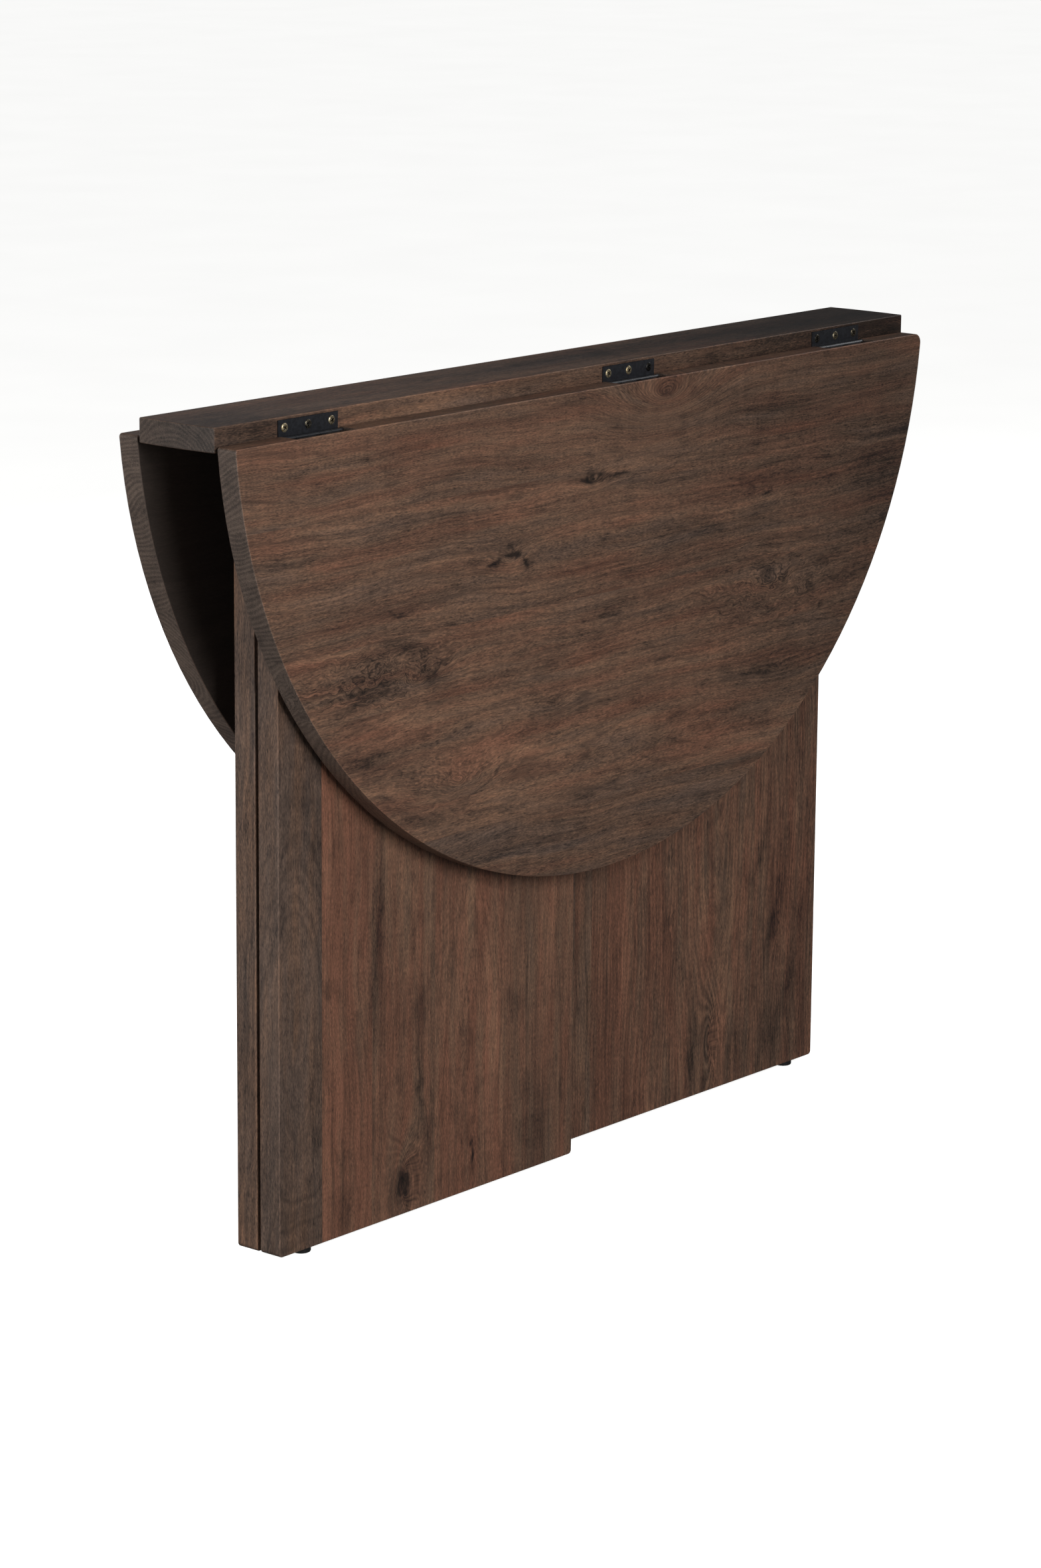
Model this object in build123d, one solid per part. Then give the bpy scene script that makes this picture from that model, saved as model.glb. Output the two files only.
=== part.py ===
from build123d import *
import math
import os

os.makedirs("parts", exist_ok=True)

# A round gateleg table, folded. X runs along the base panel, Y across it, Z up from the floor.
# The near side is -Y. Each far piece is its near piece turned half a turn about Z.
# Leaf pieces are drawn with the leaf raised, then hung from the hinge line.

# Top: one narrow fixed plank between two drop leaves
TOP_RADIUS = 500.0
TOP_HEIGHT = 762.0
TOP_THICK = 22.0
PLANK_WIDTH = 88.0
RAISED_GAP = 1.6             # plank side to leaf edge, leaf raised
TIP_RADIUS_MINUS_X = 3.0     # leaf tips, rounded in plan
TIP_RADIUS_PLUS_X = 9.0
TOP_EASING = 1.2

# Base: one full-length panel and two half-length gates
PANEL_LENGTH = 832.0
PANEL_THICK = 24.0
PANEL_BOTTOM = 6.0
GATE_LENGTH = 410.0
GATE_BACK_GAP = 3.6          # panel face to gate back, gate folded
GATE_TOP_GAP = 1.0           # gate top to plank underside
FOOT_CORNER = 4.0            # bottom corners of panel and gates
PANEL_EASING = 1.2

# Leaf hinges: 76 mm steel butt hinges, three to a leaf
HINGE_X = (-381.5, 60.0, 385.0)
HINGE_LENGTH = 76.0
PIVOT_OUT = 5.0              # plank side to hinge line
PIVOT_UP = 2.3               # top's underside to hinge line
PLATE_REACH = 17.0           # hinge line to the plate's far edge
PLATE_THICK = 1.5
PLANK_RECESS = 0.8
LEAF_RECESS = 3.4
BARREL_RADIUS = 3.0
PIN_RADIUS = 1.5
PIN_PLAY = 0.05
KNUCKLES = 5
KNUCKLE_GAP = 0.2
BARREL_ROOM = 0.6            # wood to barrel
MORTISE_ROOM = 0.5
HINGE_SCREW_PITCH = 30.0
HINGE_SCREW_DROP = 9.6       # below the top face

# Gate hinges: 60 mm steel butt hinges, two to a gate, at 90 degrees when folded
GATE_HINGE_Z = (120.0, 620.0)
GATE_HINGE_LENGTH = 60.0
GATE_PIVOT_OUT = 3.2         # from the panel face, and from the gate's edge
GATE_PLATE_REACH = 21.0
GATE_SCREW_PITCH = 22.0
GATE_SCREW_INSET = 8.0       # plate's far edge to screw

# Cleats under the plank, stops under the leaves
CLEAT_LENGTH = 350.0
CLEAT_SIZE = 22.0
CLEAT_START = 45.0
CLEAT_UP_SCREWS = (30.0, 125.0, 225.0, 320.0)
CLEAT_SIDE_SCREWS = (60.0, 175.0, 290.0)
STOP_LENGTH = 60.0
STOP_WIDTH = 20.0
STOP_DEPTH = 14.0
STOP_CENTRE_OUT = 300.0
STOP_ROOM = 1.0              # open gate to stop
STOP_SCREW_PITCH = 32.0
DOWEL_RADIUS = 4.0
DOWEL_LENGTH = 38.0
DOWEL_IN_PLANK = 13.0
DOWEL_X = (-290.0, -150.0, 150.0, 290.0)

# Screws: shank radius, head radius, head depth, whole length
HINGE_SCREW = (1.7, 4.1, 1.5, 16.0)
GATE_SCREW = (1.5, 3.2, 1.5, 14.0)
CLEAT_UP_SCREW = (2.0, 4.0, 2.2, 34.0)
CLEAT_SIDE_SCREW = (2.0, 4.0, 2.2, 36.0)
STOP_SCREW = (1.7, 3.5, 2.0, 28.0)
SCREW_PLAY = 0.1
DOME = 0.8                   # hinge screw heads stand this proud

# Glides
GLIDE_RADIUS = 8.75
GLIDE_NAIL_RADIUS = 1.3
GLIDE_NAIL_LENGTH = 18.0
PANEL_GLIDE_INSET = 32.0
GATE_GLIDE_INSET = 41.0

# Worked out from the sizes above
UNDERSIDE = TOP_HEIGHT - TOP_THICK
PLANK_SIDE = PLANK_WIDTH / 2
LEAF_EDGE = PLANK_SIDE + RAISED_GAP
PIVOT_Y = -(PLANK_SIDE + PIVOT_OUT)
PIVOT_Z = UNDERSIDE + PIVOT_UP
HALF_LENGTH = PANEL_LENGTH / 2
PANEL_FACE = PANEL_THICK / 2
GATE_BACK = PANEL_FACE + GATE_BACK_GAP
GATE_FACE = GATE_BACK + PANEL_THICK
GATE_MIDDLE = (GATE_BACK + GATE_FACE) / 2
GATE_EDGE_X = -HALF_LENGTH + GATE_LENGTH
GATE_PIVOT_X = GATE_EDGE_X + GATE_PIVOT_OUT
GATE_PIVOT_Y = -(PANEL_FACE + GATE_PIVOT_OUT)
OPEN_GATE_FACE_X = GATE_PIVOT_X + GATE_FACE + GATE_PIVOT_Y


def block(low, high):
    """A box between two corners."""
    size = [b - a for a, b in zip(low, high)]
    middle = [(a + b) / 2 for a, b in zip(low, high)]
    return Pos(*middle) * Box(*size)


def rod(radius, start, end):
    """A round bar between two points."""
    axis = Vector(*end) - Vector(*start)
    plane = Plane(origin=start, z_dir=axis)
    return extrude(plane * Circle(radius), axis.length)


def aimed(shape, point, direction):
    """A shape drawn along +Z from the origin, moved to a point and turned to a direction."""
    return Plane(origin=point, z_dir=direction).location * shape


def join(shapes):
    """Separate solids kept side by side in one node."""
    return Compound(children=list(shapes))


def to_far(shape):
    """The same piece on the far side."""
    return Rot(0, 0, 180) * shape


def hang(shape):
    """Swing a raised near-leaf piece down about the hinge line."""
    at_line = Pos(0, PIVOT_Y, PIVOT_Z)
    return at_line * Rot(90, 0, 0) * at_line.inverse() * shape


def save(name, shape):
    export_step(shape, f"parts/{name}.step")


# ---- Screws ----

def screw(sizes, dome=0.0):
    """A countersunk screw. Its head's rim lies at the origin and its shank runs to +Z."""
    shank, head, depth, length = sizes
    point = 2.0 * shank
    body = Cone(head, shank, depth, align=(Align.CENTER, Align.CENTER, Align.MIN))
    body += rod(shank, (0, 0, depth), (0, 0, length - point))
    tip = Cone(shank, 0.3, point, align=(Align.CENTER, Align.CENTER, Align.MIN))
    body += Pos(0, 0, length - point) * tip
    if dome:
        ball_radius = (head ** 2 + dome ** 2) / (2 * dome)
        ball = Pos(0, 0, ball_radius - dome) * Sphere(ball_radius)
        body += ball & Pos(0, 0, -dome / 2) * Cylinder(head, dome)
    return body


def screw_room(sizes):
    """What a screw takes out of the pieces it holds."""
    shank, head, depth, length = sizes
    room = Cone(
        head + SCREW_PLAY, shank + SCREW_PLAY, depth, align=(Align.CENTER, Align.CENTER, Align.MIN)
    )
    return room + rod(shank + SCREW_PLAY, (0, 0, depth), (0, 0, length + 1.0))


def screws_at(sizes, points, direction, dome=0.0):
    return [aimed(screw(sizes, dome), point, direction) for point in points]


def cut_screws(piece, sizes, points, direction):
    for point in points:
        piece -= aimed(screw_room(sizes), point, direction)
    return piece


# ---- Screw places, near side ----

def plank_screw_points():
    """Screws through a leaf hinge's fixed plates, at the plates' outer face."""
    y = -(PLANK_SIDE - PLANK_RECESS + PLATE_THICK)
    z = TOP_HEIGHT - HINGE_SCREW_DROP
    return [(x + k * HINGE_SCREW_PITCH, y, z) for x in HINGE_X for k in (-1, 0, 1)]


def leaf_screw_points():
    """Screws through the leaf's own plates, leaf raised."""
    y = -(LEAF_EDGE + LEAF_RECESS - PLATE_THICK)
    z = TOP_HEIGHT - HINGE_SCREW_DROP
    return [(x + k * HINGE_SCREW_PITCH, y, z) for x in HINGE_X for k in (-1, 0, 1)]


def panel_hinge_points():
    """Screws through the gate hinges' plates on the panel."""
    x = GATE_PIVOT_X + GATE_PLATE_REACH - GATE_SCREW_INSET
    y = -(PANEL_FACE + PLATE_THICK)
    return [(x, y, z + k * GATE_SCREW_PITCH) for z in GATE_HINGE_Z for k in (-1, 0, 1)]


def gate_hinge_points():
    """Screws through the gate hinges' plates on the gate's edge."""
    x = GATE_EDGE_X + PLATE_THICK
    y = GATE_PIVOT_Y - GATE_PLATE_REACH + GATE_SCREW_INSET
    return [(x, y, z + k * GATE_SCREW_PITCH) for z in GATE_HINGE_Z for k in (-1, 0, 1)]


def cleat_up_points():
    y = -(PANEL_FACE + CLEAT_SIZE / 2)
    return [(CLEAT_START + d, y, UNDERSIDE - CLEAT_SIZE) for d in CLEAT_UP_SCREWS]


def cleat_side_points():
    y = -(PANEL_FACE + CLEAT_SIZE)
    return [(CLEAT_START + d, y, UNDERSIDE - CLEAT_SIZE / 2) for d in CLEAT_SIDE_SCREWS]


def stop_points():
    x = OPEN_GATE_FACE_X + STOP_ROOM + STOP_WIDTH / 2
    y = -STOP_CENTRE_OUT
    half = STOP_SCREW_PITCH / 2
    return [(x, y + side * half, UNDERSIDE - STOP_DEPTH) for side in (-1, 1)]


# ---- Top ----

def plank():
    """The fixed plank: the middle strip of the round top."""
    body = Cylinder(TOP_RADIUS, TOP_THICK) & Box(2 * TOP_RADIUS, PLANK_WIDTH, TOP_THICK)
    body = fillet(body.edges(), TOP_EASING)
    body = Pos(0, 0, TOP_HEIGHT - TOP_THICK / 2) * body
    for turn in (0, 180):
        side = Rot(0, 0, turn)
        body -= side * plank_cuts()
    for x in DOWEL_X:
        body -= rod(DOWEL_RADIUS, (x, 0, UNDERSIDE - 1), (x, 0, UNDERSIDE + DOWEL_IN_PLANK))
    return body


def plank_cuts():
    """Mortises and pilot holes on the plank's near side."""
    cuts = []
    bottom = PIVOT_Z - PLATE_THICK / 2
    half = HINGE_LENGTH / 2 + MORTISE_ROOM
    for x in HINGE_X:
        low = (x - half, -PLANK_SIDE - 1, bottom)
        high = (x + half, -PLANK_SIDE + PLANK_RECESS, PIVOT_Z + PLATE_REACH + 0.2)
        cuts.append(block(low, high))
    for point in plank_screw_points():
        cuts.append(aimed(screw_room(HINGE_SCREW), point, (0, 1, 0)))
    for point in cleat_up_points():
        cuts.append(aimed(screw_room(CLEAT_UP_SCREW), point, (0, 0, 1)))
    return join(cuts)


def leaf(tip_minus, tip_plus):
    """A drop leaf in its raised place: the round top outside the hinge gap."""
    half = math.sqrt(TOP_RADIUS ** 2 - LEAF_EDGE ** 2)
    edge = Line((-half, -LEAF_EDGE), (half, -LEAF_EDGE))
    rim = ThreePointArc((half, -LEAF_EDGE), (0, -TOP_RADIUS), (-half, -LEAF_EDGE))
    face = make_face(edge + rim)
    face = fillet(face.vertices().sort_by(Axis.X)[0], tip_minus)
    face = fillet(face.vertices().sort_by(Axis.X)[-2:].sort_by(Axis.Y)[-1], tip_plus)
    body = extrude(Pos(0, 0, UNDERSIDE) * face, TOP_THICK)
    body = fillet(body.faces().sort_by(Axis.Z)[-1].edges(), TOP_EASING)
    body = fillet(body.faces().sort_by(Axis.Z)[0].edges(), TOP_EASING)
    for x in HINGE_X:
        body -= hinge_room(x)
    body = cut_screws(body, HINGE_SCREW, leaf_screw_points(), (0, -1, 0))
    return cut_screws(body, STOP_SCREW, stop_points(), (0, 0, 1))


def hinge_room(x):
    """The notch for the barrel and the mortise for the plate, in a raised leaf."""
    half = HINGE_LENGTH / 2 + MORTISE_ROOM
    notch_top = PIVOT_Z + BARREL_RADIUS + BARREL_ROOM
    notch_back = PIVOT_Y - BARREL_RADIUS - BARREL_ROOM
    notch = block((x - half, notch_back, UNDERSIDE - 1), (x + half, -LEAF_EDGE + 1, notch_top))
    mortise = block(
        (x - half, -LEAF_EDGE - LEAF_RECESS, notch_top),
        (x + half, -LEAF_EDGE + 1, PIVOT_Z + PLATE_REACH + 0.2),
    )
    return notch + mortise


# ---- Leaf hinges, near side, leaf raised ----

def knuckle_spans(length, first):
    """Start and end of every second knuckle along a barrel centred on zero."""
    pitch = length / KNUCKLES
    spans = []
    for k in range(first, KNUCKLES, 2):
        start = -length / 2 + k * pitch
        low = start if k == 0 else start + KNUCKLE_GAP / 2
        high = start + pitch
        high = high if k == KNUCKLES - 1 else high - KNUCKLE_GAP / 2
        spans.append((low, high))
    return spans


def knuckle(x, span):
    """One knuckle, already bored for the pin."""
    start = (x + span[0], PIVOT_Y, PIVOT_Z)
    end = (x + span[1], PIVOT_Y, PIVOT_Z)
    return rod(BARREL_RADIUS, start, end) - rod(PIN_RADIUS + PIN_PLAY, start, end)


def plank_plate(x):
    """The fixed plate, let into the plank's side, with knuckles 1, 3 and 5."""
    back = -PLANK_SIDE + PLANK_RECESS
    face = back - PLATE_THICK
    half = HINGE_LENGTH / 2
    low_z = PIVOT_Z - PLATE_THICK / 2
    body = block((x - half, face, low_z), (x + half, back, PIVOT_Z + PLATE_REACH))
    for span in knuckle_spans(HINGE_LENGTH, 0):
        low = (x + span[0], PIVOT_Y + PIN_RADIUS + 0.6, low_z)
        high = (x + span[1], face + 0.2, PIVOT_Z + PLATE_THICK / 2)
        body += block(low, high)
        body += knuckle(x, span)
    points = [p for p in plank_screw_points() if abs(p[0] - x) <= half]
    return cut_screws(body, HINGE_SCREW, points, (0, 1, 0))


def leaf_plate(x):
    """The moving plate, let into the leaf's edge, with knuckles 2 and 4."""
    back = -LEAF_EDGE - LEAF_RECESS
    face = back + PLATE_THICK
    half = HINGE_LENGTH / 2
    clear_z = PIVOT_Z + BARREL_RADIUS + BARREL_ROOM
    body = block((x - half, back, clear_z), (x + half, face, PIVOT_Z + PLATE_REACH))
    for span in knuckle_spans(HINGE_LENGTH, 1):
        low = (x + span[0], back, PIVOT_Z + PIN_RADIUS)
        body += block(low, (x + span[1], face, clear_z + 0.2))
        body += knuckle(x, span)
        body -= rod(PIN_RADIUS + PIN_PLAY, (x - half, PIVOT_Y, PIVOT_Z), (x + half, PIVOT_Y, PIVOT_Z))
    points = [p for p in leaf_screw_points() if abs(p[0] - x) <= half]
    return cut_screws(body, HINGE_SCREW, points, (0, -1, 0))


def hinge_pin(x):
    half = HINGE_LENGTH / 2
    pin = rod(PIN_RADIUS, (x - half, PIVOT_Y, PIVOT_Z), (x + half, PIVOT_Y, PIVOT_Z))
    for side in (-1, 1):
        start = (x + side * half, PIVOT_Y, PIVOT_Z)
        end = (x + side * (half + 0.4), PIVOT_Y, PIVOT_Z)
        pin += rod(BARREL_RADIUS - 0.6, start, end)
    return pin


# ---- Base ----

def board(length, bottom, top, x_start, y_front, y_back):
    """An upright panel with eased long edges and softened bottom corners."""
    body = block((x_start, y_front, bottom), (x_start + length, y_back, top))
    low = body.edges().filter_by(Axis.Y).sort_by(Axis.Z)[:2]
    body = fillet(low, FOOT_CORNER)
    outer = body.faces().sort_by(Axis.Y)
    edges = [e for f in (outer[0], outer[-1]) for e in f.edges() if e.center().Z < top - 1.0]
    return fillet(edges, PANEL_EASING)


def nail_room(x, y):
    top = PANEL_BOTTOM + GLIDE_NAIL_LENGTH + 1.0
    return rod(GLIDE_NAIL_RADIUS + SCREW_PLAY, (x, y, PANEL_BOTTOM - 1.0), (x, y, top))


def panel():
    """The fixed base panel."""
    body = board(
        PANEL_LENGTH, PANEL_BOTTOM, UNDERSIDE, -HALF_LENGTH, -PANEL_FACE, PANEL_FACE
    )
    for turn in (0, 180):
        side = Rot(0, 0, turn)
        for point in panel_hinge_points():
            body -= side * aimed(screw_room(GATE_SCREW), point, (0, 1, 0))
        for point in cleat_side_points():
            body -= side * aimed(screw_room(CLEAT_SIDE_SCREW), point, (0, 1, 0))
        body -= side * nail_room(HALF_LENGTH - PANEL_GLIDE_INSET, 0)
    for x in DOWEL_X:
        bottom = UNDERSIDE - (DOWEL_LENGTH - DOWEL_IN_PLANK)
        body -= rod(DOWEL_RADIUS, (x, 0, bottom), (x, 0, UNDERSIDE + 1))
    return body


def gate():
    """The near gate, folded flat beside the panel."""
    top = UNDERSIDE - GATE_TOP_GAP
    body = board(GATE_LENGTH, PANEL_BOTTOM, top, -HALF_LENGTH, -GATE_FACE, -GATE_BACK)
    body -= nail_room(-HALF_LENGTH + GATE_GLIDE_INSET, -GATE_MIDDLE)
    return cut_screws(body, GATE_SCREW, gate_hinge_points(), (-1, 0, 0))


def cleat():
    """A batten that joins panel and plank, on the side with no gate."""
    low = (CLEAT_START, -PANEL_FACE - CLEAT_SIZE, UNDERSIDE - CLEAT_SIZE)
    high = (CLEAT_START + CLEAT_LENGTH, -PANEL_FACE, UNDERSIDE)
    body = block(low, high)
    front = body.faces().sort_by(Axis.Y)[0]
    body = chamfer(front.edges().sort_by(Axis.Z)[0], 3.0)
    body = cut_screws(body, CLEAT_UP_SCREW, cleat_up_points(), (0, 0, 1))
    return cut_screws(body, CLEAT_SIDE_SCREW, cleat_side_points(), (0, 1, 0))


def leaf_stop():
    """A block under the raised leaf that the open gate comes to rest against."""
    x = OPEN_GATE_FACE_X + STOP_ROOM
    low = (x, -STOP_CENTRE_OUT - STOP_LENGTH / 2, UNDERSIDE - STOP_DEPTH)
    high = (x + STOP_WIDTH, -STOP_CENTRE_OUT + STOP_LENGTH / 2, UNDERSIDE)
    body = block(low, high)
    body = fillet(body.faces().sort_by(Axis.Z)[0].edges(), 1.5)
    return cut_screws(body, STOP_SCREW, stop_points(), (0, 0, 1))


def dowels():
    low = UNDERSIDE - (DOWEL_LENGTH - DOWEL_IN_PLANK)
    return [rod(DOWEL_RADIUS, (x, 0, low), (x, 0, low + DOWEL_LENGTH)) for x in DOWEL_X]


# ---- Gate hinges, near side, gate folded ----

def gate_knuckle(z, span):
    start = (GATE_PIVOT_X, GATE_PIVOT_Y, z + span[0])
    end = (GATE_PIVOT_X, GATE_PIVOT_Y, z + span[1])
    return rod(BARREL_RADIUS, start, end) - rod(PIN_RADIUS + PIN_PLAY, start, end)


def panel_hinge_plate(z):
    """The plate on the panel's face, with knuckles 1, 3 and 5."""
    back = -PANEL_FACE
    face = back - PLATE_THICK
    half = GATE_HINGE_LENGTH / 2
    start_x = GATE_PIVOT_X + BARREL_RADIUS + BARREL_ROOM
    end_x = GATE_PIVOT_X + GATE_PLATE_REACH
    body = block((start_x, face, z - half), (end_x, back, z + half))
    for span in knuckle_spans(GATE_HINGE_LENGTH, 0):
        low = (GATE_PIVOT_X, GATE_PIVOT_Y + PIN_RADIUS + 0.2, z + span[0])
        body += block(low, (start_x + 0.2, back - 0.2, z + span[1]))
        body += gate_knuckle(z, span)
    points = [p for p in panel_hinge_points() if abs(p[2] - z) <= half]
    return cut_screws(body, GATE_SCREW, points, (0, 1, 0))


def gate_hinge_plate(z):
    """The plate on the gate's edge, with knuckles 2 and 4."""
    back = GATE_EDGE_X
    face = back + PLATE_THICK
    half = GATE_HINGE_LENGTH / 2
    start_y = GATE_PIVOT_Y - BARREL_RADIUS - BARREL_ROOM
    end_y = GATE_PIVOT_Y - GATE_PLATE_REACH
    body = block((back, end_y, z - half), (face, start_y, z + half))
    for span in knuckle_spans(GATE_HINGE_LENGTH, 1):
        high = (GATE_PIVOT_X - PIN_RADIUS - 0.2, GATE_PIVOT_Y, z + span[1])
        body += block((back + 0.2, start_y - 0.2, z + span[0]), high)
        body += gate_knuckle(z, span)
    points = [p for p in gate_hinge_points() if abs(p[2] - z) <= half]
    return cut_screws(body, GATE_SCREW, points, (-1, 0, 0))


def gate_hinge_pin(z):
    half = GATE_HINGE_LENGTH / 2
    x, y = GATE_PIVOT_X, GATE_PIVOT_Y
    pin = rod(PIN_RADIUS, (x, y, z - half), (x, y, z + half))
    pin += rod(BARREL_RADIUS - 0.6, (x, y, z - half - 0.4), (x, y, z - half))
    return pin + rod(BARREL_RADIUS - 0.6, (x, y, z + half), (x, y, z + half + 0.4))


# ---- Glides ----

def glide(x, y):
    """A round plastic glide with a softened rim."""
    body = rod(GLIDE_RADIUS, (x, y, 0), (x, y, PANEL_BOTTOM))
    body = fillet(body.edges().sort_by(Axis.Z)[0], 1.5)
    return body - rod(GLIDE_NAIL_RADIUS, (x, y, 2.0), (x, y, PANEL_BOTTOM + 1))


def glide_nail(x, y):
    return rod(GLIDE_NAIL_RADIUS, (x, y, 2.0), (x, y, PANEL_BOTTOM + GLIDE_NAIL_LENGTH))


# ---- Write every node ----

def both_sides(shapes):
    shapes = list(shapes)
    return join(shapes + [to_far(s) for s in shapes])


save("top_plank", plank())
save("centre_panel", panel())
save("near_leaf", hang(leaf(TIP_RADIUS_MINUS_X, TIP_RADIUS_PLUS_X)))
save("far_leaf", to_far(hang(leaf(TIP_RADIUS_PLUS_X, TIP_RADIUS_MINUS_X))))
save("panel_dowels", join(dowels()))
save("cleat_plank_screws", both_sides(screws_at(CLEAT_UP_SCREW, cleat_up_points(), (0, 0, 1))))
save("cleat_panel_screws", both_sides(screws_at(CLEAT_SIDE_SCREW, cleat_side_points(), (0, 1, 0))))
save("plank_hinge_screws", both_sides(screws_at(HINGE_SCREW, plank_screw_points(), (0, 1, 0), DOME)))
save("panel_hinge_screws", both_sides(screws_at(GATE_SCREW, panel_hinge_points(), (0, 1, 0))))

glide_x = HALF_LENGTH - PANEL_GLIDE_INSET
save("panel_glide_left", glide(-glide_x, 0))
save("panel_glide_right", glide(glide_x, 0))
save("panel_glide_nails", join([glide_nail(-glide_x, 0), glide_nail(glide_x, 0)]))

gate_glide_place = (-HALF_LENGTH + GATE_GLIDE_INSET, -GATE_MIDDLE)
for side, place in (("near", Location()), ("far", Rot(0, 0, 180))):
    save(f"{side}_gate", place * gate())
    save(f"{side}_cleat", place * cleat())
    save(f"{side}_gate_glide", place * glide(*gate_glide_place))
    save(f"{side}_gate_glide_nail", place * glide_nail(*gate_glide_place))
    save(f"{side}_leaf_stop", place * hang(leaf_stop()))
    stop_screws = join(screws_at(STOP_SCREW, stop_points(), (0, 0, 1)))
    save(f"{side}_leaf_stop_screws", place * hang(stop_screws))
    leaf_screws = join(screws_at(HINGE_SCREW, leaf_screw_points(), (0, -1, 0), DOME))
    save(f"{side}_leaf_hinge_screws", place * hang(leaf_screws))
    gate_screws = join(screws_at(GATE_SCREW, gate_hinge_points(), (-1, 0, 0)))
    save(f"{side}_gate_hinge_screws", place * gate_screws)
    for number, x in enumerate(HINGE_X, 1):
        save(f"{side}_leaf_hinge_{number}_plank_plate", place * plank_plate(x))
        save(f"{side}_leaf_hinge_{number}_leaf_plate", place * hang(leaf_plate(x)))
        save(f"{side}_leaf_hinge_{number}_pin", place * hinge_pin(x))
    for number, z in enumerate(GATE_HINGE_Z, 1):
        save(f"{side}_gate_hinge_{number}_panel_plate", place * panel_hinge_plate(z))
        save(f"{side}_gate_hinge_{number}_gate_plate", place * gate_hinge_plate(z))
        save(f"{side}_gate_hinge_{number}_pin", place * gate_hinge_pin(z))
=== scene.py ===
# %% [markdown]
# # A gateleg table in stained wood
# The table is a frame of real parts: a plank, a panel, two leaves, two gates and their
# hinges. The frame is loaded first, and everything below is placed from its parts.

# %% Load the frame
import math

import bmesh
import bpy
from mathutils import Matrix, Vector


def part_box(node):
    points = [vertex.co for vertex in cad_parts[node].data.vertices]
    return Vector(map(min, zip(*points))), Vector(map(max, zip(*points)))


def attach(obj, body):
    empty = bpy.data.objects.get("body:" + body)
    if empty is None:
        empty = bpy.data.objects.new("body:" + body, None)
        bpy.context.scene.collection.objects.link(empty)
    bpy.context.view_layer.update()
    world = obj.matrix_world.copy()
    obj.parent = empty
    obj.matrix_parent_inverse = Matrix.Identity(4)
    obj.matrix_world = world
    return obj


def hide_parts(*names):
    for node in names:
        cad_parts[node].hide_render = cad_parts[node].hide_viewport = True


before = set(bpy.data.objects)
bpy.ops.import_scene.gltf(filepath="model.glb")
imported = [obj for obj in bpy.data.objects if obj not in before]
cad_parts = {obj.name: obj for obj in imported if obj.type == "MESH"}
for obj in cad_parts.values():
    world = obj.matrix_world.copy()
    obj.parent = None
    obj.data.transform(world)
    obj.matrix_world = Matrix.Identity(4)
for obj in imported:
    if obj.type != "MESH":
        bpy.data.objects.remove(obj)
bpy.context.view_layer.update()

MM = 0.001

# %% [markdown]
# ## Two small helpers
# Every material and every Geometry Nodes tree is made of nodes, so one function adds
# a node with its settings and its inputs. Colours are written as the sRGB hex values
# that a painter would pick, and one function turns them to the linear values that
# Blender works with.

# %% Helpers
def add(tree, kind, inputs=None, **settings):
    """Adds a node. An input is a value, a socket, or a node whose first output is used."""
    node = tree.nodes.new(kind)
    for key, value in settings.items():
        setattr(node, key, value)
    for key, value in (inputs or {}).items():
        if isinstance(value, bpy.types.Node):
            value = value.outputs[0]
        if isinstance(value, bpy.types.NodeSocket):
            tree.links.new(value, node.inputs[key])
        else:
            node.inputs[key].default_value = value
    return node


def srgb(text):
    """Linear RGBA from an sRGB hex colour such as '#5a4030'."""
    values = [int(text[i : i + 2], 16) / 255 for i in (1, 3, 5)]
    linear = [v / 12.92 if v <= 0.04045 else ((v + 0.055) / 1.055) ** 2.4 for v in values]
    return (*linear, 1.0)


def stops(ramp, pairs, interpolation="LINEAR"):
    """Sets a colour ramp from (place, colour) pairs."""
    band = ramp.color_ramp
    band.interpolation = interpolation
    while len(band.elements) > 1:
        band.elements.remove(band.elements[-1])
    band.elements[0].position, band.elements[0].color = pairs[0]
    for place, colour in pairs[1:]:
        band.elements.new(place).color = colour


# %% [markdown]
# ## Camera
# The folded table is seen from in front and to the left, slightly from above, through
# a long lens from about four metres away, so its long edges run almost parallel. The
# camera's place, its turn and its lens are the ones that make the corners line up.

# %% Camera
CAMERA_PLACE = (-3.3447, -2.7470, 1.3734)
CAMERA_AZIMUTH = 50.276      # degrees that the view turns from +Y towards +X
CAMERA_TILT = 13.168         # degrees below level
CAMERA_ROLL = 0.449
FOCAL_PER_HEIGHT = 7091.25 / 2362    # focal length in picture heights
SENSOR = 36.0


def make_camera():
    lens = bpy.data.cameras.new("studio_camera")
    lens.sensor_width = SENSOR
    lens.lens = SENSOR * FOCAL_PER_HEIGHT
    lens.clip_end = 50
    camera = bpy.data.objects.new("studio_camera", lens)
    bpy.context.scene.collection.objects.link(camera)
    turn, tilt = math.radians(CAMERA_AZIMUTH), math.radians(CAMERA_TILT)
    ahead = Vector(
        (math.sin(turn) * math.cos(tilt), math.cos(turn) * math.cos(tilt), -math.sin(tilt))
    )
    aim = ahead.to_track_quat("-Z", "Y").to_matrix().to_4x4()
    roll = Matrix.Rotation(math.radians(CAMERA_ROLL), 4, "Z")
    camera.matrix_world = Matrix.Translation(CAMERA_PLACE) @ aim @ roll
    bpy.context.scene.camera = camera
    print("lens", round(lens.lens, 1), "mm")


make_camera()

# %% [markdown]
# ## Floor and light
# The table stands in a plain bright studio. The floor is a wide disc of pale paper that
# glows a little, so that it stays even into the distance. Six soft boxes stand round
# the table: the front one lights the leaf, the ones at the left and at the corner light
# the rims and the gap between the leaves, and a faint one far behind gives the plank's
# lacquer its sheen. The box at the right is high, and picks out the hinge barrels.

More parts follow.
